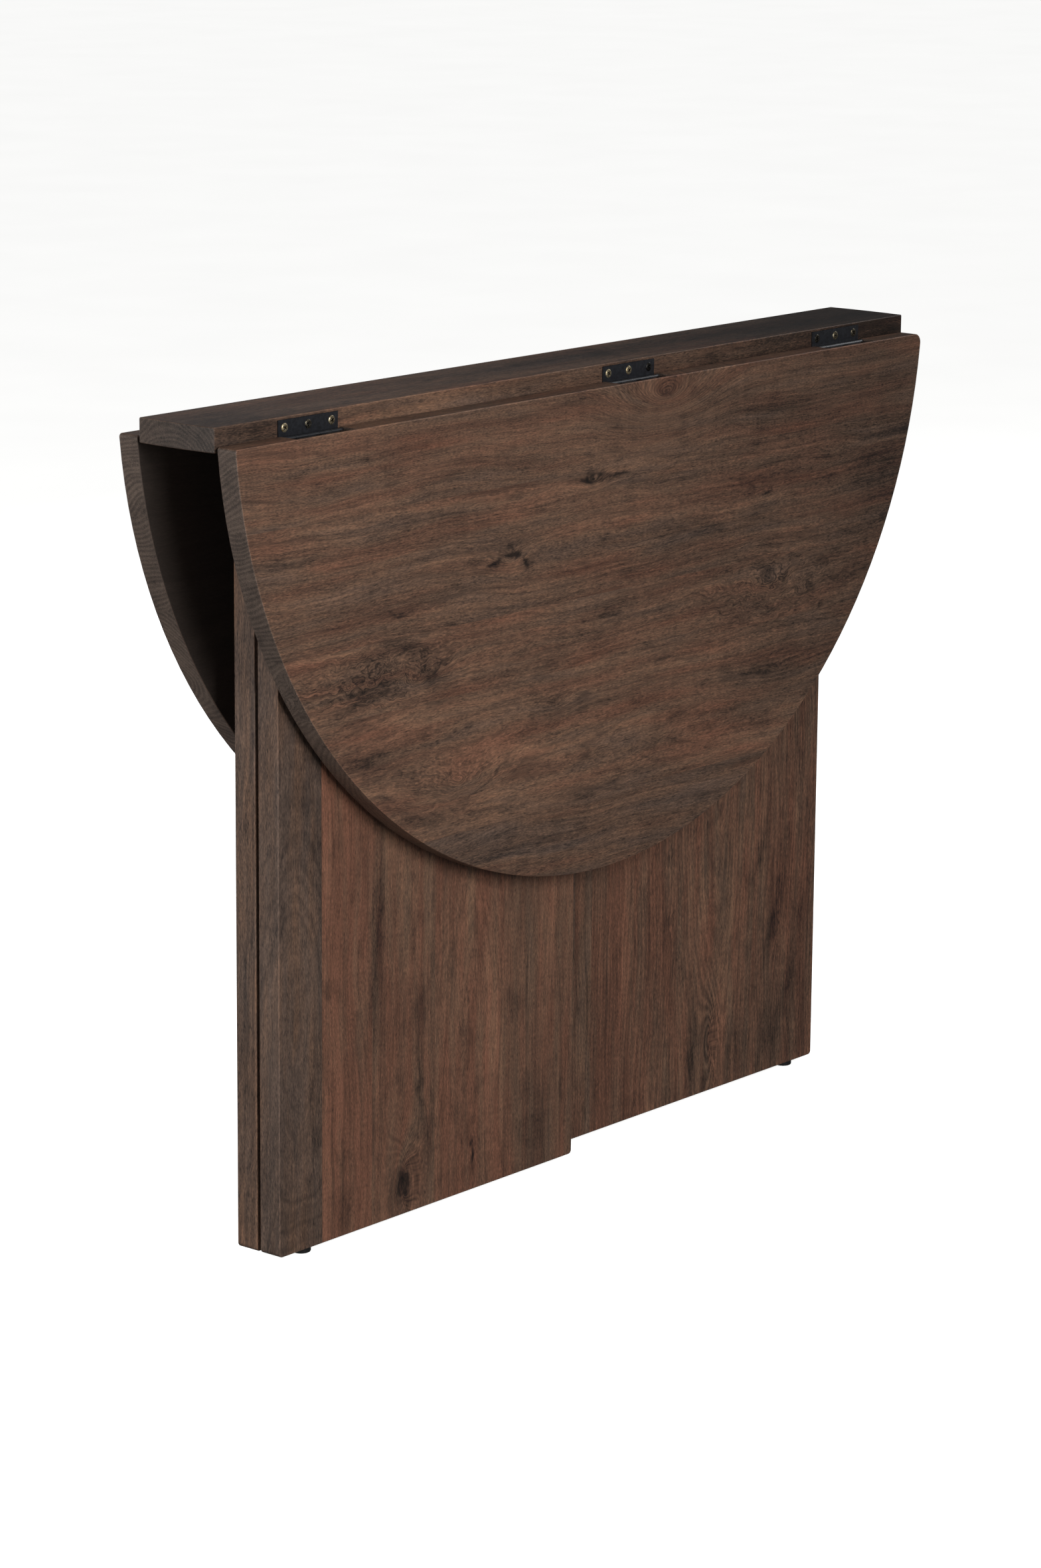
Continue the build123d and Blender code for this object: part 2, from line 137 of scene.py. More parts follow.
# %% Floor, light and exposure
FLOOR_REACH = 40.0    # metres, past what a lens this long can see
FLOOR_GLOW = 0.88
PAPER_GRAINS = 3.0    # soft clouds in the paper to a metre
TABLE_MIDDLE = (0, 0, 0.42)
# name: (place in metres, width and height in metres, watts, colour)
SOFTBOXES = {
    "front_softbox": ((-0.9, -2.4, 1.35), (1.0, 1.2), 41, "#fffdfb"),
    "corner_softbox": ((-3.1, -1.1, 0.9), (1.0, 1.2), 9, "#fbfcff"),
    "left_softbox": ((-3.0, 0.7, 0.95), (1.2, 1.6), 36, "#fffdfa"),
    "sheen_softbox": ((1.6, 2.2, 1.45), (0.9, 0.5), 0.5, "#fbfcff"),
    "back_softbox": ((0.3, 2.9, 1.15), (1.2, 1.2), 44, "#fbfcff"),
    "right_softbox": ((3.0, -0.4, 2.3), (1.0, 1.0), 14, "#fbfcff"),
}
AIR_GLOW = 0.10


def make_floor():
    """A wide disc of pale paper that glows, so that it stays even far away."""
    shape = bmesh.new()
    bmesh.ops.create_circle(shape, cap_ends=True, radius=FLOOR_REACH, segments=96)
    mesh = bpy.data.meshes.new("studio_floor")
    shape.to_mesh(mesh)
    shape.free()
    floor = bpy.data.objects.new("studio_floor", mesh)
    bpy.context.scene.collection.objects.link(floor)
    floor.visible_diffuse = False
    floor.visible_glossy = False
    paper = bpy.data.materials.new("pale_studio_paper")
    paper.use_nodes = True
    tree = paper.node_tree
    surface = tree.nodes["Principled BSDF"]
    surface.inputs["Roughness"].default_value = 0.9
    surface.inputs["Specular IOR Level"].default_value = 0.0
    surface.inputs["Emission Strength"].default_value = FLOOR_GLOW
    place = add(tree, "ShaderNodeTexCoord")
    settings = {"Vector": place.outputs["Object"], "Scale": PAPER_GRAINS}
    grain = add(tree, "ShaderNodeTexNoise", settings)
    tone = add(tree, "ShaderNodeValToRGB", {"Fac": grain.outputs["Fac"]})
    stops(tone, [(0.3, srgb("#fafaf9")), (0.7, srgb("#fcfcfb"))])
    tree.links.new(tone.outputs["Color"], surface.inputs["Base Color"])
    tree.links.new(tone.outputs["Color"], surface.inputs["Emission Color"])
    mesh.materials.append(paper)


def add_light(name, place, size, watts, colour):
    """A soft box aimed at the middle of the table."""
    light = bpy.data.lights.new(name, "AREA")
    light.shape = "RECTANGLE"
    light.size, light.size_y = size
    light.energy = watts
    light.color = srgb(colour)[:3]
    lamp = bpy.data.objects.new(name, light)
    bpy.context.scene.collection.objects.link(lamp)
    lamp.location = place
    lamp.rotation_mode = "QUATERNION"
    aim = Vector(TABLE_MIDDLE) - Vector(place)
    lamp.rotation_quaternion = aim.to_track_quat("-Z", "Y")


make_floor()
for softbox, settings in SOFTBOXES.items():
    add_light(softbox, *settings)
print("soft boxes", len(SOFTBOXES))

world = bpy.data.worlds.new("studio_air")
world.use_nodes = True
world.node_tree.nodes["Background"].inputs["Color"].default_value = srgb("#ffffff")
world.node_tree.nodes["Background"].inputs["Strength"].default_value = AIR_GLOW
bpy.context.scene.world = world
bpy.context.scene.view_settings.view_transform = "Standard"
bpy.context.scene.view_settings.look = "None"

# %% [markdown]
# ## The wood
# The real boards are a plain tropical hardwood, planed, stained dark brown and finished
# with a thin matt lacquer. A picture of wood wrapped round the boards would not fit at
# the edges, so the wood here is solid. Each board was sawn at some distance from the
# heart of a tree, and its growth rings are the distance from that heart. Where a
# board's face runs nearly along a ring, the rings open into tall arches, and where it
# cuts them squarely they are straight lines. The ends show the same rings from the end.
#
# Rings are bent by slow noise, by knots, and by patches of curl. Fibres and pores run
# along the grain instead, and only lean round the knots. All sizes are in millimetres.

# %% Names of the two nodes that do the sums
MATH, VECTOR = "ShaderNodeMath", "ShaderNodeVectorMath"
NOISE = "ShaderNodeTexNoise"

# Stain colours from the darkest pore to the palest fibre. A board, and each patch of a
# board, lies somewhere from grey-brown through golden brown to red-brown.
GREY_STAIN = ["#191615", "#332b28", "#5e4e45", "#836c5e", "#a78a74"]
GOLD_STAIN = ["#1a1513", "#372b24", "#685143", "#97735b", "#bf936f"]
RED_STAIN = ["#1c1412", "#3c2a25", "#6b4b3c", "#996954", "#bf8a71"]
END_STAIN = ["#1b1714", "#352e2a", "#554942", "#706157", "#8a796c"]

# How strongly each kind of figure moves the shade between those colours.
LAYERS = {
    "rings": 0.28,
    "streaks": 0.24,
    "mottle": 0.30,
    "fibre": 0.32,
    "speckle": 0.50,
    # The ripple is painted sheen: the shimmer that light makes across figured wood.
    "ripple_sheen": 0.10,
    "growth": 0.018,
    "veins": 0.07,
    "pores": -0.10,
    "lines": -0.10,
    "clouds": -0.09,
}
CENTRED = ("rings", "streaks", "mottle", "fibre", "speckle", "ripple_sheen")
RING_STEP = 4.4                      # mm from ring to ring
SLOW_BEND, QUICK_BEND = 34.0, 5.0    # mm that slow and quick noise push the rings
HEART_REACH = 300.0                  # how far outside a piece a heart may lie
HEART_DEPTH = 240.0                  # spread of heart depths, half of it above the face
HEART_TILT = 0.8
STAIN_DEPTH = 0.5
# Undersides: an even, darker stain, which also paints the shade that falls between the leaves and
# the panel.
UNDERSIDE_SHADE = 0.26               # the even, darker stain of the undersides


# Size in mm of each noise's grains along, across and through a board, its detail and
# its roughness. Ring noises are very long through the board, and are read by ring.
GRAINS = {
    "slow bend": ((230.0, 70.0, 70.0), 1.0, 0.5),
    "quick bend": ((60.0, 24.0, 24.0), 1.0, 0.5),
    "curl": ((24.0, 13.0, 13.0), 2.0, 0.5),
    "rings": ((420.0, 8.0, 900.0), 4.0, 0.65),
    "ring edges": ((300.0, 11.0, 900.0), 1.0, 0.5),
    "veins": ((340.0, 16.0, 900.0), 2.0, 0.5),
    "speckle": ((3.4, 0.8, 0.8), 1.0, 0.5),
    "fibre": ((15.0, 0.95, 0.95), 2.0, 0.6),
    "pores": ((5.5, 0.8, 0.8), 0.0, 0.5),
    "streaks": ((130.0, 1.9, 1.9), 3.0, 0.6),
    "mottle": ((170.0, 15.0, 15.0), 3.0, 0.6),
    "clouds": ((46.0, 19.0, 19.0), 3.0, 0.65),
    "ripple_sheen": ((12.0, 60.0, 60.0), 2.0, 0.5),
    "hue": ((150.0, 17.0, 17.0), 3.0, 0.5),
}
RAGGED_GRAIN = (20.0, 8.0, 8.0)      # mm, of the noise that makes stain outlines ragged
RAGGED_REACH = (44.0, 17.0, 0.0)     # mm that it moves them
LEAN_SLOW, LEAN_QUICK = 14.0, 5.0    # mm that the two bends move the fibres
KNOT_LEAN, CURL_LEAN = 0.6, 0.2      # how far fibres follow the rings round them
FULL_CURL = 80.0                     # mm, a swirl's strength that counts as 1
KNOT_CLEAR, CURL_CLEAR, END_CLEAR = 2.6, 2.2, 3.0    # single rings, plainer there
# The eased arrises are painted paler: partly rubbed wear, partly a painted highlight where the
# rounded edge catches the light.
ARRIS_WEAR_AND_HIGHLIGHT = 0.5                     # how much paler the eased arrises are rubbed
HUE_SWING = 1.7                      # how far patches of a board change in warmth


# %% Solid wood
def board_table(tree, place, span, rows):
    """A value for each board, read by its place across the piece: three numbers a row."""
    table = add(tree, "ShaderNodeValToRGB", {"Fac": place})
    low, high = span
    stops(table, [((r[0] - low) / (high - low), (*r[1:], 1.0)) for r in rows], "CONSTANT")
    return add(tree, "ShaderNodeSeparateColor", {"Color": table}).outputs


def stain(tree, shade, colours):
    ramp = add(tree, "ShaderNodeValToRGB", {"Fac": shade})
    last = len(colours) - 1
    stops(ramp, [(k / last, srgb(c)) for k, c in enumerate(colours)])
    return ramp


def wood(
    name, axes, span, face, boards, knots=(), stains=(), swirls=(), under=0.0, figure=1.0
):
    """Stained solid wood. axes are the object axes along, across and through a board.

    A board is (start, tone, warmth, shift, heart across, heart depth, heart tilt).
    A knot is (along, across, reach along, reach across, lift of the rings).
    A stain is (along, across, reach along, reach across, darkness, turn in degrees).
    A swirl is (along, across, reach along, reach across, strength).
    The underside, where there is one, faces +1 or -1 on the axis through the board. It
    is stained evenly darker, and that darkness is also painted shade.
    figure makes the single rings plainer or fainter.
    """
    material = bpy.data.materials.new(name)
    material.use_nodes = True
    tree = material.node_tree
    surface = tree.nodes["Principled BSDF"]
    spot = add(tree, "ShaderNodeTexCoord").outputs
    size = add(tree, VECTOR, {0: spot["Object"], "Scale": 1000.0}, operation="SCALE")
    parts = add(tree, "ShaderNodeSeparateXYZ", {0: size}).outputs
    along, across, through = (parts[a] for a in axes)
    low, high = span
    place = add(tree, "ShaderNodeMapRange", {"Value": across, 1: low, 2: high})
    looks = board_table(tree, place, span, [(b[0], *b[1:4]) for b in boards])
    wide = high - low + 2 * HEART_REACH
    hearts = [
        (b[0], (b[4] - low + HEART_REACH) / wide, b[5] / HEART_DEPTH + 0.5,
         b[6] / HEART_TILT + 0.5)
        for b in boards
    ]
    heart = board_table(tree, place, span, hearts)
    tone, warmth, shift = looks[0], looks[1], looks[2]

    # Place in the board: along, across and through, moved apart from board to board.
    far_along = add(tree, MATH, {0: shift, 1: 613.0, 2: along}, operation="MULTIPLY_ADD")
    far_through = add(tree, MATH, {0: shift, 1: 271.0, 2: through}, operation="MULTIPLY_ADD")
    spread = add(tree, "ShaderNodeCombineXYZ", {0: far_along, 1: across, 2: far_through})
    plain = add(tree, "ShaderNodeCombineXYZ", {0: along, 1: across, 2: 0.0})

    def noise(kind, where=spread):
        """One of the noises in GRAINS."""
        scale, detail, rough = GRAINS[kind]
        near = add(tree, VECTOR, {0: where, 1: [1 / s for s in scale]}, operation="MULTIPLY")
        settings = {"Vector": near, "Scale": 1.0, "Detail": detail, "Roughness": rough}
        return add(tree, NOISE, settings).outputs["Fac"]

    # The ring number: distance from the heart, bent.
    aside = add(tree, MATH, {0: heart[0], 1: -wide, 2: HEART_REACH - low}, operation="MULTIPLY_ADD")
    aside = add(tree, MATH, {0: aside, 1: across}, operation="ADD")
    tilt = add(tree, MATH, {0: heart[2], 1: 0.5}, operation="SUBTRACT")
    tilt = add(tree, MATH, {0: tilt, 1: HEART_TILT}, operation="MULTIPLY")
    deep = add(
        tree, MATH, {0: tilt, 1: along, 2: -face - HEART_DEPTH / 2}, operation="MULTIPLY_ADD"
    )
    deep = add(tree, MATH, {0: heart[1], 1: HEART_DEPTH, 2: deep}, operation="MULTIPLY_ADD")
    deep = add(tree, MATH, {0: deep, 1: through}, operation="ADD")
    arm = add(tree, "ShaderNodeCombineXYZ", {0: aside, 1: deep, 2: 0.0})
    ring = add(tree, VECTOR, {0: arm}, operation="LENGTH").outputs["Value"]
    slow = noise("slow bend")
    quick = noise("quick bend")
    ring = add(tree, MATH, {0: slow, 1: SLOW_BEND, 2: ring}, operation="MULTIPLY_ADD")
    ring = add(tree, MATH, {0: quick, 1: QUICK_BEND, 2: ring}, operation="MULTIPLY_ADD")
    lean = add(tree, MATH, {0: slow, 1: LEAN_SLOW, 2: across}, operation="MULTIPLY_ADD")
    lean = add(tree, MATH, {0: quick, 1: LEAN_QUICK, 2: lean}, operation="MULTIPLY_ADD")
    curl = noise("curl")
    curl = add(tree, MATH, {0: curl, 1: 0.5}, operation="SUBTRACT")

    def around(spot, at, over, reach, height, kind, turn=0.0):
        """1 at a place on the board, falling to 0 at the edge of an ellipse round it."""
        settings = {"Vector": spot, "Location": (at, over, 0), "Scale": (reach, height, 1),
                    "Rotation": (0, 0, math.radians(turn))}
        near = add(tree, "ShaderNodeMapping", settings, vector_type="TEXTURE")
        bump = add(tree, "ShaderNodeTexGradient", {0: near}, gradient_type=kind)
        return bump.outputs["Fac"]

    curly, knotty = 0.0, 0.0
    for *ellipse, strength in swirls:
        patch = around(plain, *ellipse, "SPHERICAL")
        share = strength / FULL_CURL
        curly = add(tree, MATH, {0: patch, 1: share, 2: curly}, operation="MULTIPLY_ADD")
        patch = add(tree, MATH, {0: patch, 1: curl}, operation="MULTIPLY")
        ring = add(tree, MATH, {0: patch, 1: strength, 2: ring}, operation="MULTIPLY_ADD")
        push = strength * CURL_LEAN
        lean = add(tree, MATH, {0: patch, 1: push, 2: lean}, operation="MULTIPLY_ADD")
    for *ellipse, lift in knots:
        bump = around(plain, *ellipse, "QUADRATIC_SPHERE")
        knotty = add(tree, MATH, {0: bump, 1: 1.0, 2: knotty}, operation="MULTIPLY_ADD")
        ring = add(tree, MATH, {0: bump, 1: lift, 2: ring}, operation="MULTIPLY_ADD")
        lean = add(tree, MATH, {0: bump, 1: lift * KNOT_LEAN, 2: lean}, operation="MULTIPLY_ADD")

    # Stains have ragged outlines, so their places wander a little.
    coarse = [1 / grain for grain in RAGGED_GRAIN]
    ragged = add(tree, VECTOR, {0: spread, 1: coarse}, operation="MULTIPLY")
    ragged = add(tree, NOISE, {"Vector": ragged, "Scale": 1.0, "Detail": 2.0})
    ragged = add(
        tree, VECTOR, {0: ragged.outputs["Color"], 1: (0.5, 0.5, 0.5)}, operation="SUBTRACT"
    )
    wander = add(tree, VECTOR, {0: ragged, 1: RAGGED_REACH, 2: plain}, operation="MULTIPLY_ADD")
    blots = [
        (around(wander, *ellipse, "QUADRATIC_SPHERE", turn), -STAIN_DEPTH * darkness)
        for *ellipse, darkness, turn in stains
    ]

    # What the eye sees: rings, thin dark ring edges, fibres, pores and slow mottling.
    along_rings = add(tree, "ShaderNodeCombineXYZ", {0: far_along, 1: ring, 2: far_through})
    along_fibres = add(tree, "ShaderNodeCombineXYZ", {0: far_along, 1: lean, 2: far_through})
    rings = noise("rings", along_rings)
    speckle = noise("speckle", along_fibres)
    edge = noise("ring edges", along_rings)
    edge = add(tree, MATH, {0: edge, 1: 0.5}, operation="SUBTRACT")
    edge = add(tree, MATH, {0: edge}, operation="ABSOLUTE")
    lines = add(tree, "ShaderNodeMapRange", {"Value": edge, 1: 0.0, 2: 0.03, 3: 1.0, 4: 0.0})
    broken = add(tree, "ShaderNodeMapRange", {"Value": speckle, 1: 0.35, 2: 0.6})
    lines = add(tree, MATH, {0: lines, 1: broken}, operation="MULTIPLY")
    vein = noise("veins", along_rings)
    veins = add(tree, "ShaderNodeMapRange", {"Value": vein, 1: 0.54, 2: 0.66})
    fibre = noise("fibre", along_fibres)
    pore = noise("pores", along_fibres)
    pores = add(tree, "ShaderNodeMapRange", {"Value": pore, 1: 0.60, 2: 0.70})
    streaks = noise("streaks", along_fibres)
    # End grain drinks more stain, and shows its rings more plainly.
    facing = add(tree, "ShaderNodeSeparateXYZ", {0: spot["Normal"]}).outputs
    end = add(tree, MATH, {0: facing[axes[0]]}, operation="ABSOLUTE")
    end = add(tree, "ShaderNodeMapRange", {"Value": end, 1: 0.35, 2: 0.8})
    turns = add(tree, MATH, {0: ring, 1: 2 * math.pi / RING_STEP}, operation="MULTIPLY")
    turns = add(tree, MATH, {0: vein, 1: 7.0, 2: turns}, operation="MULTIPLY_ADD")
    growth = add(tree, MATH, {0: turns}, operation="SINE")
    clearer = 1.0
    for amount, boost in ((knotty, KNOT_CLEAR), (curly, CURL_CLEAR), (end, END_CLEAR)):
        settings = {0: amount, 1: boost, 2: clearer}
        clearer = add(tree, MATH, settings, operation="MULTIPLY_ADD")
    clearer = add(tree, MATH, {0: clearer, 1: figure}, operation="MULTIPLY")
    growth = add(tree, MATH, {0: growth, 1: clearer}, operation="MULTIPLY")
    bolder = add(tree, MATH, {0: curly, 1: 3.0, 2: 1.0}, operation="MULTIPLY_ADD")
    lines = add(tree, MATH, {0: lines, 1: bolder}, operation="MULTIPLY")
    mottle = noise("mottle", along_fibres)
    cloud = noise("clouds")
    clouds = add(tree, "ShaderNodeMapRange", {"Value": cloud, 1: 0.56, 2: 0.68})
    # Painted sheen: the ripple stands in for the shimmer of light across the figure.
    ripple_sheen = noise("ripple_sheen")
    hue = noise("hue", along_fibres)
    warmth = add(tree, MATH, {0: hue, 1: HUE_SWING, 2: warmth}, operation="MULTIPLY_ADD")
    warmth = add(tree, MATH, {0: warmth, 1: HUE_SWING / 2 + 0.01}, operation="SUBTRACT")
    seen = {"rings": rings, "streaks": streaks, "mottle": mottle, "fibre": fibre,
            "speckle": speckle, "ripple_sheen": ripple_sheen, "growth": growth, "veins": veins,
            "pores": pores, "lines": lines, "clouds": clouds}
    shade = tone
    for part, strength in LAYERS.items():
        shade = add(tree, MATH, {0: seen[part], 1: strength, 2: shade}, operation="MULTIPLY_ADD")
    for bump, strength in blots:
        shade = add(tree, MATH, {0: bump, 1: strength, 2: shade}, operation="MULTIPLY_ADD")
    middle = sum(LAYERS[k] for k in CENTRED) / 2
    shade = add(tree, MATH, {0: shade, 1: middle - 0.02}, operation="SUBTRACT")

    # The undersides have one even dark stain, which is also painted shade between the leaves
    # and the panel. The arrises are rubbed a little paler, which is also a painted highlight.
    if under:
        below = add(tree, "ShaderNodeMapRange", {"Value": facing[axes[2]], 1: 0.0, 2: under})
        even = add(tree, MATH, {0: shade, 1: 0.2, 2: UNDERSIDE_SHADE - 0.1},
                   operation="MULTIPLY_ADD")
        shade = add(tree, "ShaderNodeMix", {0: below, 2: shade, 3: even})
        end = add(tree, MATH, {0: end, 1: below}, operation="MAXIMUM")
    # Painted highlight and wear: where the normal lies between the broad face and the edge, the
    # eased arris is made paler.
    flat = add(tree, MATH, {0: facing[axes[2]], 1: facing[axes[2]]}, operation="MULTIPLY")
    edge = add(tree, MATH, {0: 1.0, 1: flat}, operation="SUBTRACT")
    edge = add(tree, MATH, {0: edge, 1: flat}, operation="MULTIPLY")
    shade = add(tree, MATH, {0: edge, 1: ARRIS_WEAR_AND_HIGHLIGHT, 2: shade}, operation="MULTIPLY_ADD")
    to_gold = add(tree, "ShaderNodeMapRange", {"Value": warmth, 1: 0.0, 2: 0.5})
    to_red = add(tree, "ShaderNodeMapRange", {"Value": warmth, 1: 0.5, 2: 1.0})
    colour = stain(tree, shade, GREY_STAIN)
    for amount, colours in ((to_gold, GOLD_STAIN), (to_red, RED_STAIN), (end, END_STAIN)):
        other = stain(tree, shade, colours)
        colour = add(tree, "ShaderNodeMixRGB", {0: amount, 1: colour, 2: other})
    tree.links.new(colour.outputs[0], surface.inputs["Base Color"])
    gloss = add(tree, "ShaderNodeMapRange", {"Value": fibre, 3: 0.60, 4: 0.44})
    tree.links.new(gloss.outputs[0], surface.inputs["Roughness"])
    surface.inputs["Specular IOR Level"].default_value = 0.3
    height = add(tree, MATH, {0: pores, 1: -0.7, 2: fibre}, operation="MULTIPLY_ADD")
    relief = add(
        tree, "ShaderNodeBump", {"Height": height, "Strength": 0.35, "Distance": 0.00012}
    )
    tree.links.new(relief.outputs["Normal"], surface.inputs["Normal"])
    return material


def finish_with(material, *names):
    """Gives CAD nodes a material in place of the plain one they came with."""
    for name in names:
        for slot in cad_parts[name].material_slots:
            slot.material = material


# %% [markdown]
# ## The boards of each piece
# A leaf is glued up from long boards, so its grain runs along the hinge line. The panel
# and the gates are glued up from short upright boards. Every board has its own tone,
# its own warmth and its own distance from the heart of its tree.

# %% Leaf boards
ALONG_X, ALONG_X_FLAT, ALONG_Z = (0, 2, 1), (0, 1, 2), (2, 0, 1)
leaf_low, leaf_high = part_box("near_leaf")
LEAF_SPAN = (leaf_low.z / MM, leaf_high.z / MM)
# start, tone, warmth, shift, heart across, heart depth, heart tilt
near_leaf_boards = [
    (LEAF_SPAN[0], 0.48, 0.45, 0.11, 150, 60, 0.02),
    (362, 0.54, 0.60, 0.37, 405, 28, -0.07),
    (490, 0.52, 0.60, 0.63, 380, 60, 0.03),
    (553, 0.50, 0.60, 0.29, 300, 80, 0.0),
    (670, 0.51, 0.60, 0.85, 560, 60, 0.02),
]
near_leaf_knots = [
    (88, 732, 140, 60, 84),            # the eye, and the wide arcs round it
    (-20, 662, 46, 15, 18),
    (-138, 603, 50, 20, 14),
    (-250, 520, 70, 26, 22),
    (-210, 414, 100, 34, 34),
    (255, 530, 70, 26, 22),
    (270, 440, 120, 40, 10),
    (-75, 460, 55, 20, 8),
]
near_leaf_stains = [
    (88, 731, 22, 10, 0.35, 0),
    (-22, 664, 20, 9, 1.1, 0),         # dark knot and its tail
    (12, 661, 50, 5, 0.8, -3),
    (-160, 603, 16, 7, 1.0, 10),       # knot like a pair of wings
    (-137, 607, 24, 7, 0.8, -4),
    (-115, 598, 10, 14, 1.0, 20),
    (-136, 596, 24, 8, -0.25, 0),
    (-288, 576, 46, 6, 0.5, 0),
    (-330, 677, 200, 10, -0.28, 2),    # pale streak beside the first seam
    (-245, 512, 60, 22, 0.38, -35),
    (-280, 545, 80, 14, 0.36, -20),
    (-330, 505, 90, 16, 0.35, 10),
    (0, 534, 60, 8, 0.6, 3),
    (-75, 462, 40, 20, 0.45, 0),
    (-340, 452, 60, 16, 0.5, -15),
    (-120, 425, 150, 24, -0.26, -12),
    (-300, 480, 120, 14, -0.2, -8),
    (247, 618, 10, 7, 0.7, 0),
    (250, 535, 50, 16, 0.3, -40),
    (240, 508, 70, 14, 0.3, -25),
    (250, 705, 170, 30, 0.36, 0),
    (270, 440, 190, 62, 0.36, 5),
    (-320, 520, 130, 34, 0.25, 0),
    (320, 575, 170, 80, -0.16, 0),
    (440, 600, 430, 330, 0.36, 0),     # the wood darkens slowly to one end
]
near_leaf_swirls = [
    (-320, 522, 150, 46, 80),
    (260, 522, 170, 46, 66),
    (-200, 420, 170, 46, 36),
    (60, 400, 160, 40, 24),
]
near_leaf_wood = wood(
    "stained_hardwood_near_leaf", ALONG_X, LEAF_SPAN, leaf_low.y / MM,
    near_leaf_boards, near_leaf_knots, near_leaf_stains, near_leaf_swirls, 1.0,
)
finish_with(near_leaf_wood, "near_leaf")

far_leaf_boards = [
    (LEAF_SPAN[0], 0.52, 0.6, 0.41, 240, 50, 0.05),
    (388, 0.47, 0.4, 0.73, 700, 60, 0.0),
    (476, 0.55, 0.7, 0.19, 520, 30, 0.09),
    (585, 0.49, 0.5, 0.57, 300, 80, -0.03),
    (672, 0.51, 0.35, 0.91, 640, 60, 0.03),
]
far_leaf_knots = [(210, 530, 130, 50, 60), (-160, 630, 40, 14, 18), (120, 430, 80, 24, 22)]
far_leaf_stains = [(-162, 631, 22, 9, 1.0, 0), (120, 430, 60, 18, 0.4, -12)]
far_leaf_wood = wood(
    "stained_hardwood_far_leaf", ALONG_X, LEAF_SPAN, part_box("far_leaf")[1].y / MM,
    far_leaf_boards, far_leaf_knots, far_leaf_stains, [(-250, 450, 140, 50, 60)], -1.0,
)
finish_with(far_leaf_wood, "far_leaf")

# %% [markdown]
# ## The plank, the panel and the gates
# The plank is a single wide board, with golden streaks on its side. Its top is painted
# darker than its side, as painted shade of a face that gets little light. The panel and
# the gates are narrow upright boards, and a few of them were sawn so near the heart that
# their rings stand up as pointed arches.

# %% Plank, panel and gate boards
plank_low, plank_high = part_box("top_plank")
plank_wood = wood(
    "stained_hardwood_plank", ALONG_X_FLAT, (plank_low.y / MM, plank_high.y / MM),
    plank_high.z / MM,
    [(plank_low.y / MM, 0.50, 0.5, 0.23, 6, 62, 0.03)],
    [(150, 10, 90, 30, 30)],
    # Painted shade: the stain centred 6 mm across darkens the top, which gets little light.
    [(-470, -20, 190, 120, 0.45, 0), (440, -10, 560, 150, 1.0, 0), (0, 6, 440, 44, 0.55, 0),
     (-215, -44, 120, 10, -0.25, 0), (-90, -44, 70, 10, 0.2, 0), (60, -44, 80, 12, 0.3, 0)],
)
finish_with(plank_wood, "top_plank")

panel_low, panel_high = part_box("centre_panel")
PANEL_SPAN = (panel_low.x / MM, panel_high.x / MM)
panel_boards = [
    (PANEL_SPAN[0], 0.47, 0.3, 0.15, -300, 60, 0.05),
    (-330, 0.55, 0.8, 0.45, -290, 30, 0.1),
    (-236, 0.50, 0.6, 0.75, -500, 80, 0.0),
    (-150, 0.53, 0.7, 0.05, -105, 30, -0.12),
    (-58, 0.49, 0.5, 0.35, 200, 80, 0.0),
    (28, 0.52, 0.55, 0.65, 400, 80, 0.0),
    (54, 0.51, 0.9, 0.95, 300, 90, 0.0),
    (118, 0.52, 0.85, 0.27, 60, 60, 0.0),
    (187, 0.53, 0.70, 0.55, 256, 38, -0.10),
    (311, 0.50, 0.75, 0.81, 520, 70, 0.0),
]
panel_knots = [(60, 243, 110, 26, 26), (190, 176, 34, 12, 8), (150, 350, 110, 20, 14)]
panel_stains = [
    (40, 214, 60, 14, 0.5, 0),
    (55, 243, 60, 20, 0.35, 0),
    (192, 174, 30, 14, 0.45, 0),
    (235, 322, 60, 14, 0.45, 25),      # dark streak that crosses the last board
    (160, 345, 90, 15, 0.5, 18),
    (90, 372, 50, 18, 0.65, 12),
    (160, 392, 44, 16, 0.35, 0),
    (40, 290, 60, 30, 0.3, 0),
    (45, 350, 60, 50, 0.25, 0),
]
panel_wood = wood(
    "stained_hardwood_panel", ALONG_Z, PANEL_SPAN, panel_low.y / MM,
    panel_boards, panel_knots, panel_stains, figure=2.2,
)
finish_with(panel_wood, "centre_panel")

gate_low, gate_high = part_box("near_gate")
near_gate_boards = [
    (gate_low.x / MM, 0.49, 0.15, 0.33, -392, -62, 0.30),
    (-361, 0.57, 0.95, 0.71, -640, 60, 0.0),
    (-294, 0.54, 0.70, 0.17, -242, -7, 0.07),
    (-207, 0.57, 0.85, 0.51, -152, -5, 0.12),
    (-110, 0.53, 0.70, 0.89, 160, 60, 0.0),
]
near_gate_knots = [(34, -250, 100, 40, 50), (60, -153, 60, 16, 10)]
near_gate_stains = [
    (35, -250, 22, 18, 0.6, 0),        # heart of the knot
    (32, -252, 60, 32, 0.45, 0),
    (290, -284, 150, 15, 0.55, 0),     # dark streak at the top of the third board
    (235, -291, 100, 9, 0.45, 0),
    (130, -226, 110, 8, 0.55, -5),
    (75, -213, 70, 10, 0.5, 0),
    (195, -222, 50, 16, 0.35, 0),
    (45, -153, 26, 4, 1.0, 0),         # small crack
    (50, -60, 80, 60, 0.25, 0),
    (30, -330, 50, 30, 0.35, 0),
    (90, -350, 300, 14, -0.12, 0),
]
near_gate_wood = wood(
    "stained_hardwood_near_gate", ALONG_Z, (gate_low.x / MM, gate_high.x / MM),
    gate_low.y / MM, near_gate_boards, near_gate_knots, near_gate_stains, figure=1.0,
)
finish_with(near_gate_wood, "near_gate")

